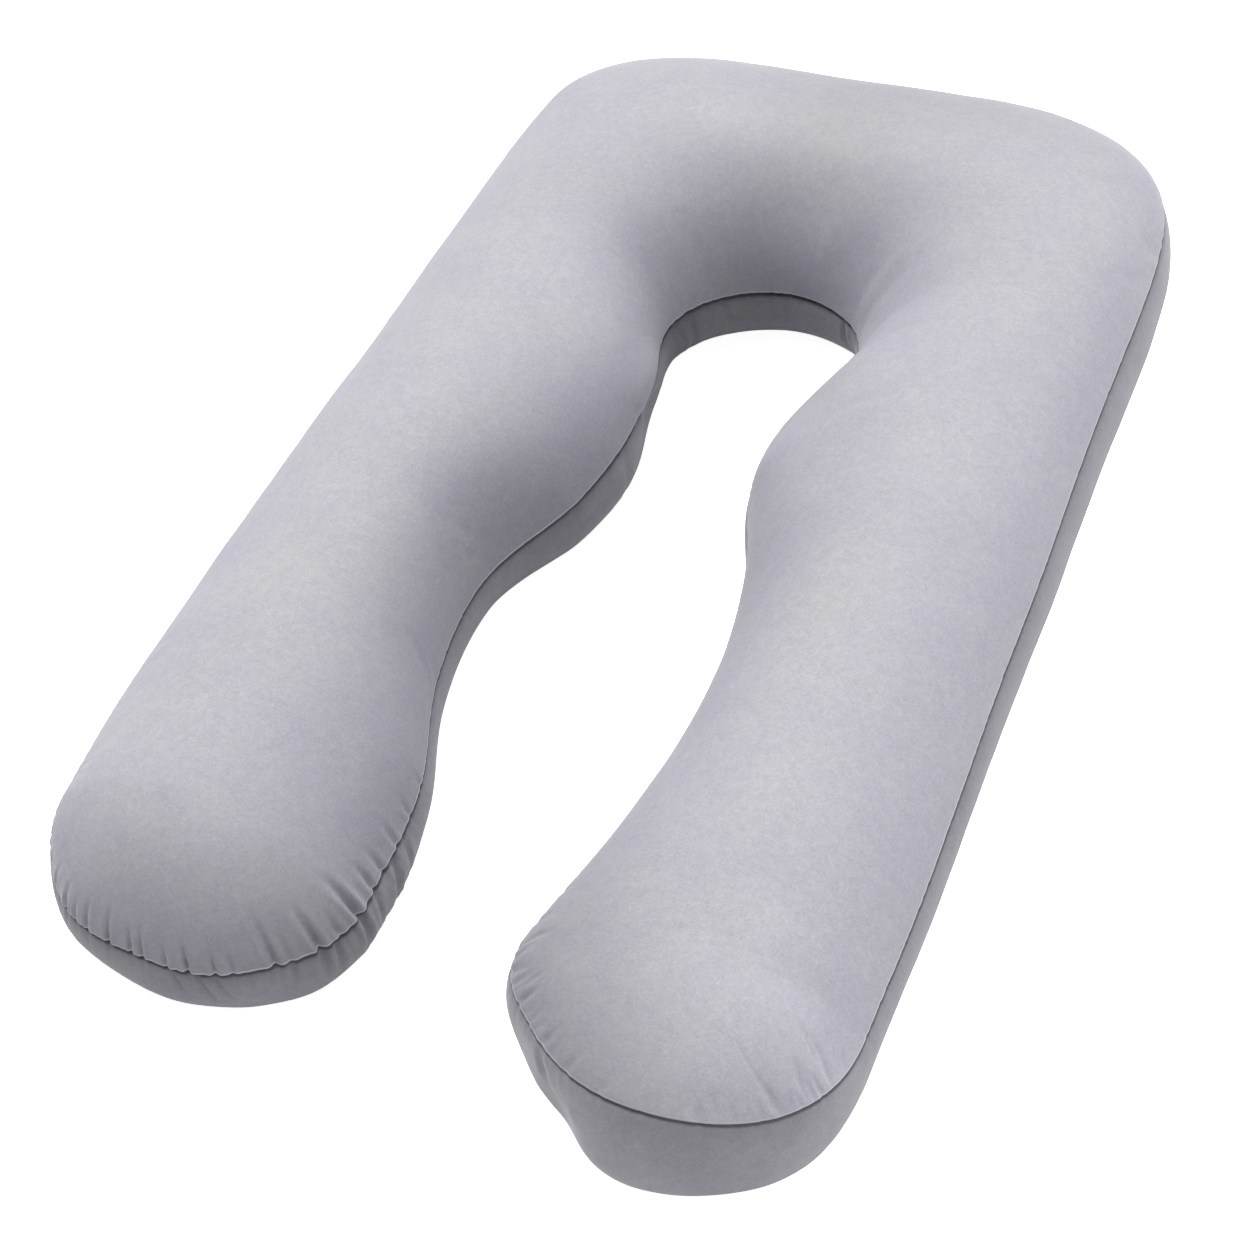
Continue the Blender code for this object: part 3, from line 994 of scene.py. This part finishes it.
@dataclass
class Graph:
    """A shader node tree that is being wired up."""

    tree: Tree

    def add(self, kind: str, **inputs: float | Colour) -> Node:
        """Add a node.

        Args:
            kind: The node's type.
            inputs: Values of its inputs, by name with underscores for spaces.

        Returns:
            The node.
        """
        node = self.tree.nodes.new(kind)
        self.tune(node, **inputs)
        return node

    @staticmethod
    def tune(node: Node, **inputs: float | Colour) -> None:
        """Set a node's inputs, named with underscores for spaces."""
        for name, value in inputs.items():
            node.inputs[name.replace("_", " ")].default_value = value

    def link(self, start: Socket, end: Socket) -> None:
        """Link two sockets."""
        self.tree.links.new(start, end)

    def times(self, value: Socket, by: Socket | float) -> Socket:
        """Multiply a value by a number or by another value.

        Args:
            value: The value.
            by: The number, or the other value.

        Returns:
            Their product.
        """
        node = self.add("ShaderNodeMath")
        node.operation = "MULTIPLY"
        self.link(value, node.inputs[0])
        self._set(node.inputs[1], by)
        return node.outputs["Value"]

    def blend(self, a: Socket, b: Socket, factor: float) -> Socket:
        """Mix two values.

        Args:
            a: The first value.
            b: The second value.
            factor: The share of the second one.

        Returns:
            The mixed value.
        """
        mix = self.add("ShaderNodeMix", Factor=factor)
        self.link(a, mix.inputs["A"])
        self.link(b, mix.inputs["B"])
        return mix.outputs["Result"]

    def ramp(self, value: Socket, span: Span, to: Span) -> Socket:
        """Map a value smoothly from one range to another.

        Args:
            value: The value.
            span: The range that it comes from.
            to: The range that it is mapped to.

        Returns:
            The mapped value.
        """
        node = self.add(
            "ShaderNodeMapRange", From_Min=span[0], From_Max=span[1], To_Min=to[0], To_Max=to[1]
        )
        node.interpolation_type = "SMOOTHSTEP"
        self.link(value, node.inputs["Value"])
        return node.outputs["Result"]

    def paint(
        self, blend: str, a: Socket | Colour, b: Socket | Colour,
        factor: Socket | float,
    ) -> Socket:
        """Mix two colours.

        Args:
            blend: The kind of mix.
            a: The first colour.
            b: The second colour.
            factor: How much of the second one.

        Returns:
            The mixed colour.
        """
        node = self.add("ShaderNodeMix")
        node.data_type = "RGBA"
        node.blend_type = blend
        sockets = {socket.identifier: socket for socket in node.inputs}
        self._set(sockets["A_Color"], a)
        self._set(sockets["B_Color"], b)
        self._set(sockets["Factor_Float"], factor)
        return next(socket for socket in node.outputs if socket.identifier == "Result_Color")

    def _set(self, socket: Socket, value: Socket | Colour | float) -> None:
        """Link a socket to another one, or give it a fixed value."""
        if isinstance(value, Socket):
            self.link(value, socket)
        else:
            socket.default_value = value


@dataclass
class PileNodes:
    """The shader node groups that every velvet finish shares, each built once."""

    patches_per_metre: float = 7.0
    small_patches: float = 4.5
    small_patch_share: float = 0.42
    patch_edges: Span = (0.30, 0.70)
    grain_per_metre: float = 420.0
    coarse_grain: float = 0.25
    coarse_grain_share: float = 0.32
    grain_edges: Span = (0.25, 0.75)
    grain_shades: Span = (0.89, 1.11)
    noise_roughness: float = 0.6
    groove_bottom: Span = (-0.0040, -0.0020)
    groove_top: Span = (-0.0004, 0.0008)
    lip_bottom: Span = (0.0008, 0.0020)
    lip_top: Span = (0.0026, 0.0052)

    def __post_init__(self) -> None:
        """Build the groups."""
        self.patches = self._patches()
        self.grain = self._grain()
        self.seam_shade = self._seam_shade()

    @staticmethod
    def _group(
        name: str, inputs: dict[str, float | None], outputs: tuple[str, ...]
    ) -> tuple[Graph, Node, Node]:
        """Start a node group with named sockets.

        Args:
            name: The group's name.
            inputs: Default of each input, or None for a vector.
            outputs: Names of the float outputs.

        Returns:
            The group's graph, its input node and its output node.
        """
        tree = bpy.data.node_groups.new(name, "ShaderNodeTree")
        for label, value in inputs.items():
            kind = "NodeSocketVector" if value is None else "NodeSocketFloat"
            socket = tree.interface.new_socket(label, in_out="INPUT", socket_type=kind)
            if value is not None:
                socket.default_value = value
        for label in outputs:
            tree.interface.new_socket(label, in_out="OUTPUT", socket_type="NodeSocketFloat")
        graph = Graph(tree)
        return graph, graph.add("NodeGroupInput"), graph.add("NodeGroupOutput")

    def _noise(
        self, graph: Graph, given: Node, share: float, detail: float, twist: float
    ) -> Socket:
        """Add a noise whose scale is a share of the group's own scale.

        Args:
            graph: The group's graph.
            given: Its input node, with the sockets Place and Per Metre.
            share: The noise's scale, as a share of Per Metre.
            detail: How many finer layers it has.
            twist: How far it is distorted.

        Returns:
            The noise's value.
        """
        cloud = graph.add("ShaderNodeTexNoise", Detail=detail, Distortion=twist)
        graph.tune(cloud, Roughness=self.noise_roughness)
        graph.link(graph.times(given.outputs["Per Metre"], share), cloud.inputs["Scale"])
        graph.link(given.outputs["Place"], cloud.inputs["Vector"])
        return cloud.outputs["Fac"]

    def _patches(self) -> Tree:
        """Soft patches where the pile lies one way or the other.

        Returns:
            A group that puts out a mask from 0 to 1.
        """
        sockets = {"Place": None, "Per Metre": self.patches_per_metre}
        graph, given, result = self._group("brushed_patches", sockets, ("Mask",))
        wide = self._noise(graph, given, share=1.0, detail=2.0, twist=0.2)
        small = self._noise(graph, given, share=self.small_patches, detail=3.0, twist=0.3)
        mixed = graph.blend(wide, small, self.small_patch_share)
        graph.link(graph.ramp(mixed, self.patch_edges, (0.0, 1.0)), result.inputs["Mask"])
        return graph.tree

    def _grain(self) -> Tree:
        """The fine wormy speckle of short pile.

        Returns:
            A group that puts out a shade around 1 and a height from 0 to 1.
        """
        sockets = {"Place": None, "Per Metre": self.grain_per_metre}
        graph, given, result = self._group("pile_grain", sockets, ("Shade", "Height"))
        fine = self._noise(graph, given, share=1.0, detail=1.0, twist=1.4)
        coarse = self._noise(graph, given, share=self.coarse_grain, detail=2.0, twist=0.6)
        mixed = graph.blend(fine, coarse, self.coarse_grain_share)
        shade = graph.ramp(mixed, self.grain_edges, self.grain_shades)
        graph.link(shade, result.inputs["Shade"])
        graph.link(mixed, result.inputs["Height"])
        return graph.tree

    def _seam_shade(self) -> Tree:
        """Painted shade and highlight at the seam: painted shade in the groove, and a painted
        highlight on the lip over it.

        Returns:
            A group that puts out two masks that are 1 in the groove and on the lip.
        """
        graph, given, result = self._group("seam_shade", {"Above": 0.0}, ("Groove", "Lip"))
        above = given.outputs["Above"]
        bands = {
            "Groove": (self.groove_bottom, self.groove_top), "Lip": (self.lip_bottom, self.lip_top)
        }
        for name, (bottom, top) in bands.items():
            past_bottom = graph.ramp(above, bottom, (0.0, 1.0))
            below_top = graph.ramp(above, top, (1.0, 0.0))
            graph.link(graph.times(past_bottom, below_top), result.inputs[name])
        return graph.tree


@dataclass(frozen=True)
class Velvet:
    """A short-pile velvet: its colours where the pile lies either way, with painted light that
    makes up-facing surfaces paler, painted shade in the seam's groove and a painted highlight on
    its lip, and its sheen.
    """

    name: str
    # The pile's two tones: random patches mix them, and painted light on up-facing surfaces mixes
    # in more of the pale one.
    deep: Colour = (0.336, 0.330, 0.384, 1.0)
    pale: Colour = (0.380, 0.376, 0.396, 1.0)
    painted_top_light_share: float = 0.45
    # Painted shade in the seam's groove, and a painted highlight on the lip over it.
    groove: Colour = (0.060, 0.060, 0.070, 1.0)
    lip: Colour = (0.58, 0.575, 0.60, 1.0)
    lip_highlight_strength: float = 0.75
    groove_shade_strength: float = 0.66
    patch_size: float = 1.0
    roughness: float = 0.95
    sheen: float = 0.25
    sheen_roughness: float = 0.35
    sheen_tint: Colour = (0.95, 0.95, 0.98, 1.0)
    shine: float = 0.15
    bump: float = 0.22
    pile_height: float = 0.0008

    def material(self, groups: PileNodes) -> bpy.types.Material:
        """Build the material.

        Args:
            groups: The shared node groups.

        Returns:
            The material.
        """
        material = bpy.data.materials.new(self.name)
        material.use_nodes = True
        graph = Graph(material.node_tree)
        surface = material.node_tree.nodes["Principled BSDF"]
        graph.tune(
            surface, Roughness=self.roughness, Sheen_Weight=self.sheen, Sheen_Tint=self.sheen_tint,
            Sheen_Roughness=self.sheen_roughness, Specular_IOR_Level=self.shine,
        )
        place = graph.add("ShaderNodeTexCoord").outputs["Object"]
        patches = self._use(graph, groups.patches)
        patches.inputs["Per Metre"].default_value *= self.patch_size
        grain = self._use(graph, groups.grain)
        seam = self._use(graph, groups.seam_shade)
        graph.link(place, patches.inputs["Place"])
        graph.link(place, grain.inputs["Place"])
        graph.link(self._attribute(graph, ABOVE_SEAM), seam.inputs["Above"])
        # Painted light: up-facing surfaces are mixed towards the pale colour, along with the
        # random patches.
        painted_top_light = self._attribute(graph, PAINTED_TOP_LIGHT)
        patches_and_top_light = graph.blend(patches.outputs["Mask"], painted_top_light, self.painted_top_light_share)
        tone_and_painted_light = graph.paint("MIX", self.deep, self.pale, patches_and_top_light)
        # Painted light and shade, multiplied into the colour.
        with_painted_light_and_shade = graph.paint("MULTIPLY", tone_and_painted_light, self._attribute(graph, PAINTED_LIGHT_AND_SHADE), 1.0)
        grained = graph.paint("MULTIPLY", with_painted_light_and_shade, grain.outputs["Shade"], 1.0)
        # Painted highlight on the lip over the seam.
        lip_highlight = graph.times(seam.outputs["Lip"], self.lip_highlight_strength)
        with_lip_highlight = graph.paint("MIX", grained, self.lip, lip_highlight)
        # Painted shade in the seam's groove.
        groove_shade = graph.times(seam.outputs["Groove"], self.groove_shade_strength)
        graph.link(graph.paint("MIX", with_lip_highlight, self.groove, groove_shade), surface.inputs["Base Color"])
        bump = graph.add("ShaderNodeBump", Strength=self.bump, Distance=self.pile_height)
        graph.link(grain.outputs["Height"], bump.inputs["Height"])
        graph.link(bump.outputs["Normal"], surface.inputs["Normal"])
        return material

    @staticmethod
    def _use(graph: Graph, group: Tree) -> Node:
        """Put a shared group in the material.

        Args:
            graph: The material's graph.
            group: The group.

        Returns:
            The group's node.
        """
        node = graph.add("ShaderNodeGroup")
        node.node_tree = group
        return node

    @staticmethod
    def _attribute(graph: Graph, name: str) -> Socket:
        """Read a value that each point of the mesh carries.

        Args:
            graph: The material's graph.
            name: The value's name.

        Returns:
            The value.
        """
        node = graph.add("ShaderNodeAttribute")
        node.attribute_name = name
        return node.outputs["Fac"]


@dataclass(frozen=True)
class Lamp:
    """One soft lamp that shines from a direction, in degrees from +X and above the floor."""

    name: str
    azimuth: float
    elevation: float
    strength: float
    spread: float = 50.0
    distance: float = 4.0

    def hang(self) -> None:
        """Add the lamp to the scene."""
        data = bpy.data.lights.new(self.name, "SUN")
        data.energy = self.strength
        data.angle = math.radians(self.spread)
        lamp = bpy.data.objects.new(self.name, data)
        turn, tilt = math.radians(self.azimuth), math.radians(self.elevation)
        towards = Vector((
            math.cos(turn) * math.cos(tilt), math.sin(turn) * math.cos(tilt), math.sin(tilt)
        ))
        lamp.rotation_euler = (-towards).to_track_quat("-Z", "Y").to_euler()
        lamp.location = towards * self.distance
        bpy.context.scene.collection.objects.link(lamp)


@dataclass
class Studio:
    """Floor, light and camera around the pillow."""

    target: tuple[float, float, float] = (0.0287, -0.1692, 0.08)
    azimuth: float = 27.98
    elevation: float = 46.32
    roll: float = -7.72
    distance: float = 2.41
    focal_pixels: float = 2400.0
    floor_size: float = 12.0
    floor_colour: Colour = (0.9, 0.9, 0.9, 1.0)
    floor_roughness: float = 0.9
    floor_drop: float = 0.0005
    floor_glow: float = 0.93
    backdrop: float = 1.0
    lamps: tuple[Lamp, ...] = (
        Lamp("high_left_softbox", 135.0, 65.0, 3.7),
        Lamp("high_front_left_softbox", 180.0, 65.0, 0.6),
        Lamp("back_softbox", 90.0, 15.0, 2.45),
        Lamp("back_right_softbox", 45.0, 15.0, 0.3),
        Lamp("right_softbox", 0.0, 15.0, 1.55),
    )

    def camera(self) -> None:
        """Set the camera at the photo's angle."""
        turn, tilt, roll = (
            math.radians(angle) for angle in (self.azimuth, self.elevation, self.roll)
        )
        back = Vector((
            math.sin(turn) * math.cos(tilt), -math.cos(turn) * math.cos(tilt), math.sin(tilt)
        ))
        right = Vector((0, 0, 1)).cross(back).normalized()
        up = back.cross(right)
        across = math.cos(roll) * right + math.sin(roll) * up
        upright = math.cos(roll) * up - math.sin(roll) * right
        data = bpy.data.cameras.new("photo_camera")
        data.lens = data.sensor_width * self.focal_pixels / PHOTO_PIXELS
        camera = bpy.data.objects.new("photo_camera", data)
        turned = Matrix((across, upright, back)).transposed().to_4x4()
        place = Vector(self.target) + back * self.distance
        camera.matrix_world = Matrix.Translation(place) @ turned
        bpy.context.scene.collection.objects.link(camera)
        bpy.context.scene.camera = camera

    def floor(self) -> None:
        """Lay a plain pale floor under the pillow, which glows for the camera alone."""
        half = self.floor_size / 2
        mesh = bpy.data.meshes.new("floor")
        corners = [(-half, -half, 0), (half, -half, 0), (half, half, 0), (-half, half, 0)]
        mesh.from_pydata(corners, [], [(0, 1, 2, 3)])
        material = bpy.data.materials.new("pale_floor")
        material.use_nodes = True
        graph = Graph(material.node_tree)
        surface = material.node_tree.nodes["Principled BSDF"]
        graph.tune(
            surface, Base_Color=self.floor_colour, Roughness=self.floor_roughness,
            Emission_Color=WHITE,
        )
        seen = graph.add("ShaderNodeLightPath").outputs["Is Camera Ray"]
        graph.link(graph.times(seen, self.floor_glow), surface.inputs["Emission Strength"])
        mesh.materials.append(material)
        floor = bpy.data.objects.new("floor", mesh)
        floor.location.z = -self.floor_drop
        bpy.context.scene.collection.objects.link(floor)

    def build(self) -> None:
        """Set the whole studio, in a white room that only the camera sees."""
        self.camera()
        self.floor()
        for lamp in self.lamps:
            lamp.hang()
        world = bpy.data.worlds.new("white_room")
        world.use_nodes = True
        graph = Graph(world.node_tree)
        background = world.node_tree.nodes["Background"]
        graph.tune(background, Color=WHITE)
        seen = graph.add("ShaderNodeLightPath").outputs["Is Camera Ray"]
        graph.link(graph.times(seen, self.backdrop), background.inputs["Strength"])
        bpy.context.scene.world = world
        bpy.context.scene.view_settings.view_transform = "Standard"


def main() -> None:
    """Build the studio and the pillow, and report each piece."""
    logging.basicConfig(level=logging.INFO, format="%(name)s: %(message)s")
    Studio().build()
    log.info("studio is set")
    groups = PileNodes()
    finishes = {
        Panel.TOP: Velvet("velvet_top_panel").material(groups),
        Panel.UNDER: Velvet(
            "velvet_under_panel", deep=(0.325, 0.319, 0.358, 1.0), pale=(0.392, 0.387, 0.412, 1.0),
            patch_size=1.6,
        ).material(groups),
    }
    cushion = Cushion(Loft(Plan(), Lobes()), Relief()).build(finishes)
    mesh = cushion.data
    log.info("%s has %d points and %d faces", cushion.name, len(mesh.vertices), len(mesh.polygons))


if __name__ == "__main__":
    main()
